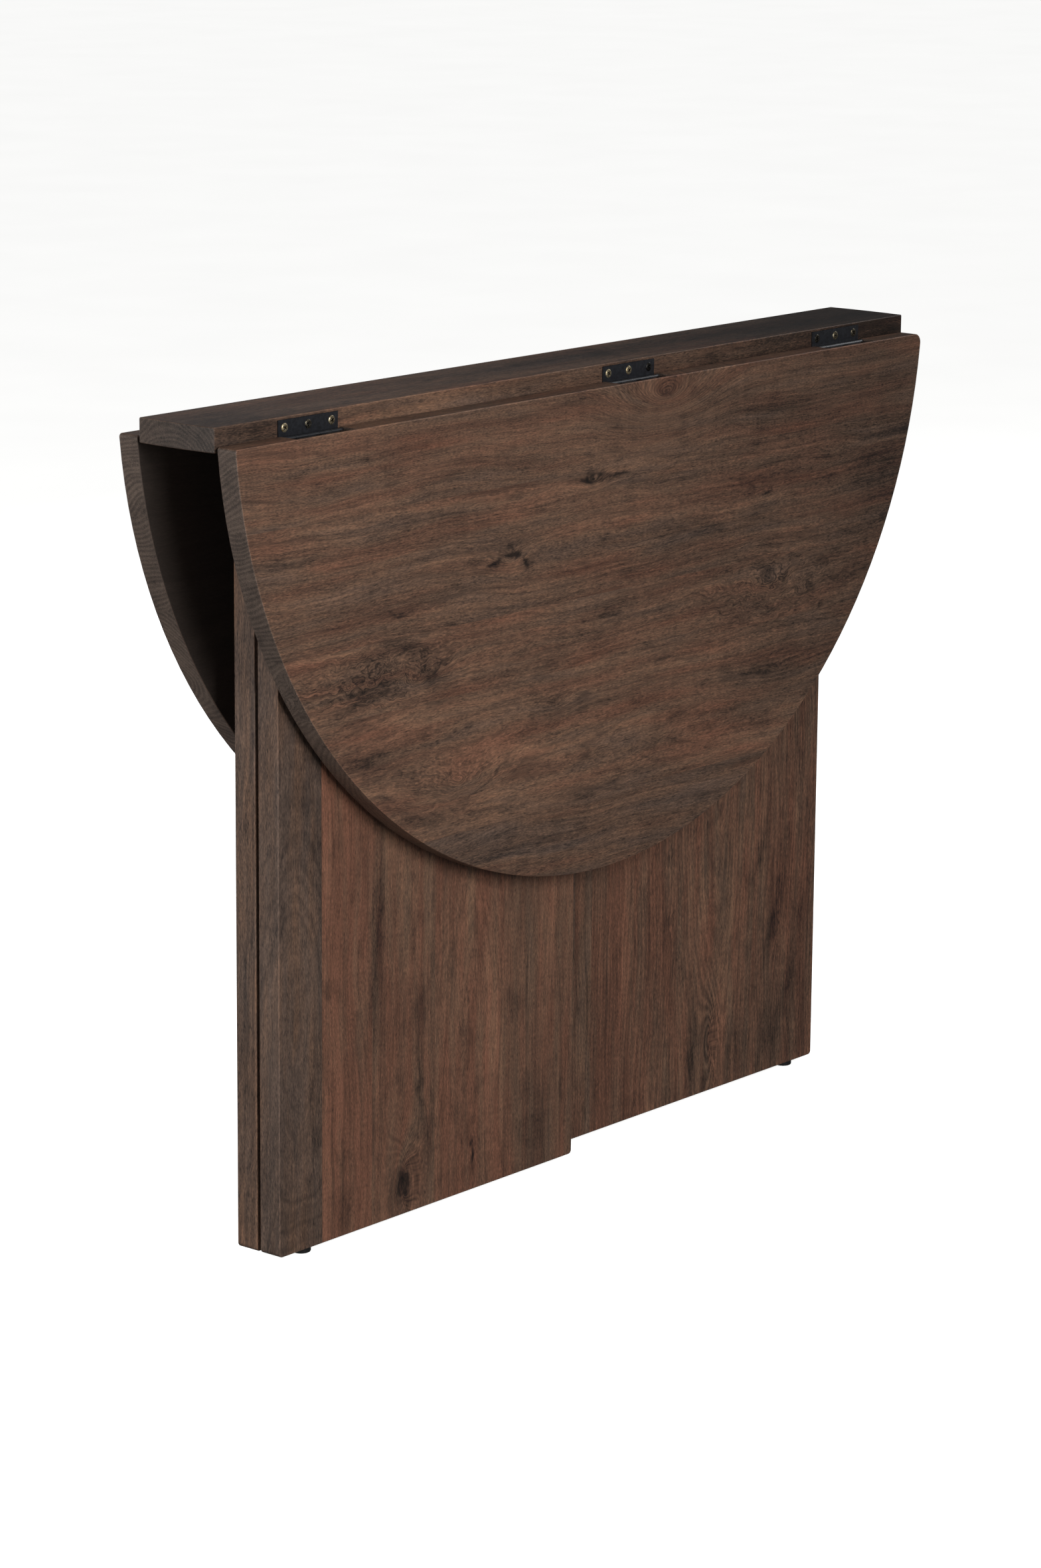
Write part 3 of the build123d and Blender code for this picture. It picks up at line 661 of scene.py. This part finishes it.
far_gate_low, far_gate_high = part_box("far_gate")
far_gate_boards = [
    (far_gate_low.x / MM, 0.50, 0.7, 0.21, -200, 60, 0.0),
    (98, 0.54, 0.9, 0.67, 148, 10, 0.08),
    (192, 0.48, 0.5, 0.39, 480, 70, 0.0),
    (270, 0.52, 0.9, 0.93, 318, 16, -0.10),
    (358, 0.47, 0.2, 0.49, 388, 30, 0.14),
]
far_gate_knots = [(210, 148, 90, 32, 40)]
far_gate_stains = [(211, 149, 22, 12, 1.3, 0), (480, 320, 120, 14, 0.5, 4)]
far_gate_wood = wood(
    "stained_hardwood_far_gate", ALONG_Z, (far_gate_low.x / MM, far_gate_high.x / MM),
    far_gate_high.y / MM, far_gate_boards, far_gate_knots, far_gate_stains, figure=1.6,
)
finish_with(far_gate_wood, "far_gate")

cleat_low, cleat_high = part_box("near_cleat")
batten_wood = wood(
    "stained_hardwood_battens", ALONG_X, (700.0, 760.0), cleat_low.y / MM,
    [(700.0, 0.44, 0.4, 0.6, 500, 60, 0.0)],
)
finish_with(
    batten_wood, "near_cleat", "far_cleat", "near_leaf_stop", "far_leaf_stop", "panel_dowels"
)
wooden = [m.name for m in bpy.data.materials if m.name.startswith("stained_hardwood")]
print("kinds of wood:", len(wooden))

# %% [markdown]
# ## Screws
# The hinges are held by countersunk cross-head screws that stand a little proud of the
# plates. A screw is a turned shape, so one ring of points could be spun round an axis.
# The cross recess isn't turned, but every angle still meets its outline once, so the
# rings near the middle follow the cross instead of a circle. One screw is made in this
# way, and Geometry Nodes sets a copy at each hole, turned by chance as a hand leaves it.

# %% One cross-head screw
def cross_reach(angle, arm, half_width):
    """Distance from the middle of a cross to its outline at an angle."""
    turn = abs((angle + math.pi / 4) % (math.pi / 2) - math.pi / 4)
    if math.tan(turn) < half_width / arm:
        return arm / math.cos(turn)
    return half_width / math.sin(turn)


def cross_screw(name, head, depth, shank, length, dome):
    """A countersunk screw in mm. Its rim lies at the origin and its head faces +Z."""
    arm, half_width = 0.56 * head, 0.12 * head
    corner = math.atan(half_width / arm)
    quarter = [-corner, -corner / 2, 0.0, corner / 2, corner]
    quarter += [corner + (math.pi / 2 - 2 * corner) * k / 6 for k in range(1, 6)]
    angles = [a + q * math.pi / 2 for q in range(4) for a in quarter]
    circle, cross = "circle", "cross"
    profile = [
        (circle, 0.02 * shank, -length), (circle, 0.75 * shank, -length + 2.6 * shank),
        (circle, 0.80 * shank, -length + 3.0 * shank), (circle, shank, -1.15 * depth - 2.0),
        (circle, shank, -1.08 * depth), (circle, 0.97 * head, -0.06 * depth),
        (circle, head, 0.0), (circle, 0.985 * head, 0.03 * head),
        (circle, 0.90 * head, 0.45 * dome), (circle, 0.76 * head, 0.85 * dome),
        (circle, 0.64 * head, dome), (cross, 1.06, dome), (cross, 1.0, dome - 0.05),
        (cross, 0.62, dome - 0.75 * depth), (cross, 0.34, dome - 0.95 * depth),
    ]
    shape = bmesh.new()
    rings = []
    for kind, reach, height in profile:
        ring = []
        for angle in angles:
            r = reach * (cross_reach(angle, arm, half_width) if kind == cross else 1.0)
            spot = (r * math.cos(angle) * MM, r * math.sin(angle) * MM, height * MM)
            ring.append(shape.verts.new(spot))
        rings.append(ring)
    shape.faces.new(reversed(rings[0]))
    shape.faces.new(rings[-1])
    for low, high in zip(rings, rings[1:]):
        for k in range(len(angles)):
            after = (k + 1) % len(angles)
            shape.faces.new((low[k], low[after], high[after], high[k]))
    mesh = bpy.data.meshes.new(name)
    shape.to_mesh(mesh)
    shape.free()
    # Black that the driver never rubs off, and painted shade darker than the coat: the two deepest
    # rings of the cross.
    shaded_recess = mesh.attributes.new("shaded_recess", "FLOAT", "POINT")
    deep = len(mesh.vertices) - 3 * len(angles)
    for k, spot in enumerate(shaded_recess.data):
        spot.value = float(k >= deep)
    mesh.shade_smooth()
    mesh.set_sharp_from_angle(angle=math.radians(38))
    screw = bpy.data.objects.new(name, mesh)
    bpy.context.scene.collection.objects.link(screw)
    return screw


# %% [markdown]
# ## Setting the screws
# A tree of Geometry Nodes takes the holes as points. Each point says which way its
# screw faces and how worn it is. The copies become one plain mesh for each row of
# screws, because the real screws of a hinge move with its wood as one piece.

# %% A Geometry Nodes tree that sets screws in their holes
def screw_tree():
    """Points with a 'facing' direction and a 'wear' value each get a screw."""
    tree = bpy.data.node_groups.new("set_screws", "GeometryNodeTree")
    for label, kind in (("Geometry", "NodeSocketGeometry"), ("Screw", "NodeSocketObject"),
                        ("Seed", "NodeSocketInt"), ("Finish", "NodeSocketMaterial")):
        tree.interface.new_socket(label, in_out="INPUT", socket_type=kind)
    tree.interface.new_socket("Geometry", in_out="OUTPUT", socket_type="NodeSocketGeometry")
    given = add(tree, "NodeGroupInput").outputs
    screw = add(tree, "GeometryNodeObjectInfo", {"Object": given["Screw"]})
    facing = add(
        tree, "GeometryNodeInputNamedAttribute", {"Name": "facing"}, data_type="FLOAT_VECTOR"
    )
    aim = add(tree, "FunctionNodeAlignRotationToVector", {"Vector": facing}, axis="Z")
    chance = add(
        tree, "FunctionNodeRandomValue",
        {2: 0.0, 3: 2 * math.pi, "Seed": given["Seed"]}, data_type="FLOAT",
    )
    twist = add(tree, "ShaderNodeCombineXYZ", {2: chance.outputs[1]})
    twist = add(tree, "FunctionNodeEulerToRotation", {0: twist})
    turn = add(
        tree, "FunctionNodeRotateRotation", {0: aim, 1: twist}, rotation_space="LOCAL"
    )
    copies = add(
        tree, "GeometryNodeInstanceOnPoints",
        {"Points": given["Geometry"], "Instance": screw.outputs["Geometry"], "Rotation": turn},
    )
    real = add(tree, "GeometryNodeRealizeInstances", {0: copies})
    done = add(tree, "GeometryNodeSetMaterial", {0: real, "Material": given["Finish"]})
    add(tree, "NodeGroupOutput", {0: done})
    return tree


SCREW_TREE = screw_tree()


def set_screws(name, screw, holes, finish, body, slot, *nodes, seed=1):
    """Makes one piece of screws. A hole is (place in metres, facing, wear from 0 to 1)."""
    points = bpy.data.meshes.new(name + "_holes")
    points.from_pydata([place for place, _, _ in holes], [], [])
    points.attributes.new("facing", "FLOAT_VECTOR", "POINT")
    points.attributes.new("wear", "FLOAT", "POINT")
    for k, (_, facing, worn) in enumerate(holes):
        points.attributes["facing"].data[k].vector = facing
        points.attributes["wear"].data[k].value = worn
    source = bpy.data.objects.new(name + "_holes", points)
    bpy.context.scene.collection.objects.link(source)
    modifier = source.modifiers.new("screws", "NODES")
    modifier.node_group = SCREW_TREE
    sockets = {s.name: s.identifier for s in SCREW_TREE.interface.items_tree if s.in_out == "INPUT"}
    modifier[sockets["Screw"]] = screw
    modifier[sockets["Seed"]] = seed
    modifier[sockets["Finish"]] = finish
    graph = bpy.context.evaluated_depsgraph_get()
    mesh = bpy.data.meshes.new_from_object(source.evaluated_get(graph))
    bpy.data.objects.remove(source)
    piece = bpy.data.objects.new(name, mesh)
    bpy.context.scene.collection.objects.link(piece)
    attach(piece, body)
    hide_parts(*nodes)
    print(name, len(holes), "screws,", len(mesh.polygons), "faces")
    return piece


# %% [markdown]
# ## Metal and plastic finishes
# The hinges are mild steel with a satin black coat, thin enough to show the metal's
# own unevenness. The screws were brass-plated and then blackened: the black has rubbed
# off the rims of some heads and stays dark in the crosses, which are painted darker
# still as their shade. The hidden screws are plain zinc-plated steel. The glides are
# moulded black polythene, faintly pebbled.

# %% Metal and plastic
def coating(name, low, high, scale, rough, metallic=0.0, bump=0.0, stretch=(1, 1, 1), detail=3.0):
    """A finish that wanders between two colours on grains of a size in millimetres."""
    material = bpy.data.materials.new(name)
    material.use_nodes = True
    tree = material.node_tree
    surface = tree.nodes["Principled BSDF"]
    spot = add(tree, "ShaderNodeTexCoord").outputs["Object"]
    grains = [1000.0 / (scale * s) for s in stretch]
    near = add(tree, VECTOR, {0: spot, 1: grains}, operation="MULTIPLY")
    cloud = add(tree, NOISE, {"Vector": near, "Scale": 1.0, "Detail": detail})
    ramp = add(tree, "ShaderNodeValToRGB", {"Fac": cloud.outputs["Fac"]})
    stops(ramp, [(0.32, srgb(low)), (0.68, srgb(high))])
    tree.links.new(ramp.outputs["Color"], surface.inputs["Base Color"])
    gloss = add(
        tree, "ShaderNodeMapRange", {"Value": cloud.outputs["Fac"], 3: rough[1], 4: rough[0]}
    )
    tree.links.new(gloss.outputs[0], surface.inputs["Roughness"])
    surface.inputs["Metallic"].default_value = metallic
    if bump:
        relief = add(tree, "ShaderNodeBump", {"Height": cloud.outputs["Fac"], "Strength": 0.5,
                                              "Distance": bump * MM})
        tree.links.new(relief.outputs["Normal"], surface.inputs["Normal"])
    return material, tree, surface, ramp


black_steel, *_ = coating(
    "satin_black_coated_steel", "#1a1b1f", "#292b30", 2.4, (0.30, 0.44), bump=0.04
)
pin_steel, *_ = coating(
    "rubbed_black_pin_steel", "#2c2d31", "#4a4a4d", 1.6, (0.26, 0.40), metallic=0.6
)
zinc_steel, *_ = coating(
    "zinc_plated_steel", "#8f9294", "#b3b5b6", 1.2, (0.28, 0.42), metallic=1.0
)
glide_plastic, *_ = coating(
    "pebbled_black_polythene", "#131314", "#1e1e1f", 0.5, (0.42, 0.58), bump=0.05
)
screw_finish, tree, surface, blackened = coating(
    "blackened_brass_plated_steel", "#18181a", "#2c2b2b", 0.9, (0.34, 0.5), metallic=0.85
)
# Worn heads show brass where they stand proud, and stay black in the cross, which is painted
# near-black there as its shade.
bare = add(tree, "ShaderNodeTexCoord").outputs["Object"]
bare = add(tree, VECTOR, {0: bare, 1: (900, 900, 900)}, operation="MULTIPLY")
bare = add(tree, NOISE, {"Vector": bare, "Scale": 1.0, "Detail": 2.0}).outputs["Fac"]
brass = add(tree, "ShaderNodeValToRGB", {"Fac": bare})
stops(brass, [(0.35, srgb("#8f7a54")), (0.68, srgb("#ddd2b4"))])
worn = add(tree, "ShaderNodeAttribute", attribute_name="wear").outputs["Fac"]
shaded_recess = add(tree, "ShaderNodeAttribute", attribute_name="shaded_recess").outputs["Fac"]
patchy = add(tree, MATH, {0: bare, 1: 0.5}, operation="SUBTRACT")
patchy = add(tree, MATH, {0: patchy, 1: 0.8, 2: worn}, operation="MULTIPLY_ADD")
patchy = add(tree, "ShaderNodeMapRange", {"Value": patchy, 1: 0.15, 2: 0.85})
mixed = add(tree, "ShaderNodeMixRGB", {0: patchy, 1: blackened, 2: brass})
# Painted shade: the deep cross is near-black, darker than the coat.
mixed = add(tree, "ShaderNodeMixRGB", {0: shaded_recess, 1: mixed, 2: srgb("#0b0b0b")})
tree.links.new(mixed.outputs[0], surface.inputs["Base Color"])

sides = ("near", "far")
for side in sides:
    for hinge in (1, 2, 3):
        stem = f"{side}_leaf_hinge_{hinge}_"
        finish_with(black_steel, stem + "plank_plate", stem + "leaf_plate")
        finish_with(pin_steel, stem + "pin")
    for hinge in (1, 2):
        stem = f"{side}_gate_hinge_{hinge}_"
        finish_with(black_steel, stem + "panel_plate", stem + "gate_plate")
        finish_with(pin_steel, stem + "pin")
    finish_with(glide_plastic, f"{side}_gate_glide")
finish_with(glide_plastic, "panel_glide_left", "panel_glide_right")
finish_with(zinc_steel, "near_gate_glide_nail", "far_gate_glide_nail", "panel_glide_nails")

# %% [markdown]
# ## The hinge screws
# Each plate has three screws, 30 mm apart on the leaf hinges. Their heads are raised,
# and on some of them the black has rubbed off and shows the brass. The ones in the
# leaves' edges lie deep in their mortises, so they stay black.

# %% Hinge screws
# Head radius, head depth, shank radius and whole length in mm
HINGE_SCREW = (4.1, 1.5, 1.7, 16.0)
GATE_SCREW = (3.2, 1.5, 1.5, 14.0)
DOME = 0.8               # mm that a raised head stands proud
PLATE_SCREW_STEP = 30.0 * MM
UNTOUCHED = 0.05         # wear of a screw that nothing rubs
hinge_screw = cross_screw("hinge_screw", *HINGE_SCREW, DOME)
gate_screw = cross_screw("gate_screw", *GATE_SCREW, 0.0)


def middle(node):
    low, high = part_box(node)
    return (low + high) / 2


# Wear of the three screws of hinges 1, 2 and 3 on the near side, from rubbed to black.
WEAR = {1: (0.9, 0.25, 0.6), 2: (0.85, 1.0, 0.1), 3: (0.2, 0.45, 0.3)}
plank_low, plank_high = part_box("plank_hinge_screws")
screw_height = (plank_low.z + plank_high.z) / 2
holes = []
for side, way in (("near", -1), ("far", 1)):
    edge = (plank_low.y if way < 0 else plank_high.y) - way * DOME * MM
    for hinge, wears in WEAR.items():
        x = middle(f"{side}_leaf_hinge_{hinge}_plank_plate").x
        for k, worn in zip((-1, 0, 1), wears):
            holes.append(((x + k * PLATE_SCREW_STEP, edge, screw_height), (0, way, 0), worn))
set_screws("plank_hinge_screw_heads", hinge_screw, holes, screw_finish, "base",
           "worn_screw_steel", "plank_hinge_screws", seed=3)

for side in sides:
    low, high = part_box(f"{side}_leaf_hinge_screws")
    holes = []
    for hinge in WEAR:
        x = middle(f"{side}_leaf_hinge_{hinge}_leaf_plate").x
        for k in (-1, 0, 1):
            spot = (x + k * PLATE_SCREW_STEP, (low.y + high.y) / 2, high.z - DOME * MM)
            holes.append((spot, (0, 0, 1), UNTOUCHED))
    set_screws(f"{side}_leaf_screw_heads", hinge_screw, holes, screw_finish, f"{side}_leaf",
               "worn_screw_steel", f"{side}_leaf_hinge_screws", seed=5)

# %% [markdown]
# ## The other screws
# The gate hinges have smaller screws, with flat heads so that the plates can fold. The
# cleats and the stop blocks are held by long screws that only show from below.

# %% Screws that are seen when the table is opened or turned over
# The half-turn that makes the far side from the near side is (-x, -y).
GATE_SCREW_STEP = 22.0 * MM
CLEAT_UP = (30.0, 125.0, 225.0, 320.0)      # mm along the cleat, into the plank
CLEAT_SIDE = (60.0, 175.0, 290.0)           # mm along the cleat, into the panel
GATE_SCREW_WEAR = 0.4
STOP_SCREW = (3.5, 2.0, 1.7, 28.0)
cleat_screw = cross_screw("cleat_screw", 4.0, 2.2, 2.0, 34.0, 0.0)
cleat_side_screw = cross_screw("cleat_side_screw", 4.0, 2.2, 2.0, 36.0, 0.0)
stop_screw = cross_screw("stop_screw", *STOP_SCREW, 0.0)


def half_turned(holes):
    """The same holes on the far side."""
    return [((-x, -y, z), (-a, -b, c), worn) for (x, y, z), (a, b, c), worn in holes]


panel_screws_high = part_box("panel_hinge_screws")[1]
gate_screws_low, gate_screws_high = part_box("near_gate_hinge_screws")
panel_holes, gate_holes = [], []
for hinge in (1, 2):
    height = middle(f"near_gate_hinge_{hinge}_panel_plate").z
    for k in (-1, 0, 1):
        z = height + k * GATE_SCREW_STEP
        x = panel_screws_high.x - GATE_SCREW[0] * MM
        panel_holes.append(((x, -panel_screws_high.y, z), (0, -1, 0), GATE_SCREW_WEAR))
        y = (gate_screws_low.y + gate_screws_high.y) / 2
        gate_holes.append(((gate_screws_high.x, y, z), (1, 0, 0), GATE_SCREW_WEAR))
set_screws("panel_hinge_screw_heads", gate_screw, panel_holes + half_turned(panel_holes),
           screw_finish, "base", "worn_screw_steel", "panel_hinge_screws", seed=7)
for side, holes in (("near", gate_holes), ("far", half_turned(gate_holes))):
    set_screws(f"{side}_gate_screw_heads", gate_screw, holes, screw_finish, f"{side}_gate",
               "worn_screw_steel", f"{side}_gate_hinge_screws", seed=9)

cleat_low, cleat_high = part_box("near_cleat")
up = [((cleat_low.x + d * MM, (cleat_low.y + cleat_high.y) / 2, cleat_low.z), (0, 0, -1), 0.0)
      for d in CLEAT_UP]
inward = [((cleat_low.x + d * MM, cleat_low.y, (cleat_low.z + cleat_high.z) / 2), (0, -1, 0), 0.0)
          for d in CLEAT_SIDE]
set_screws("cleat_up_screws", cleat_screw, up + half_turned(up), zinc_steel, "base",
           "zinc_screw_steel", "cleat_plank_screws", seed=11)
set_screws("cleat_side_screws", cleat_side_screw, inward + half_turned(inward), zinc_steel,
           "base", "zinc_screw_steel", "cleat_panel_screws", seed=13)
low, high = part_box("near_leaf_stop_screws")
into_leaf = [(((low.x + high.x) / 2, high.y, z), (0, 1, 0), 0.0)
             for z in (low.z + STOP_SCREW[0] * MM, high.z - STOP_SCREW[0] * MM)]
for side, holes in (("near", into_leaf), ("far", half_turned(into_leaf))):
    set_screws(f"{side}_stop_screws", stop_screw, holes, zinc_steel, f"{side}_leaf",
               "zinc_screw_steel", f"{side}_leaf_stop_screws", seed=15)
for pattern in (hinge_screw, gate_screw, cleat_screw, cleat_side_screw, stop_screw):
    bpy.data.objects.remove(pattern)
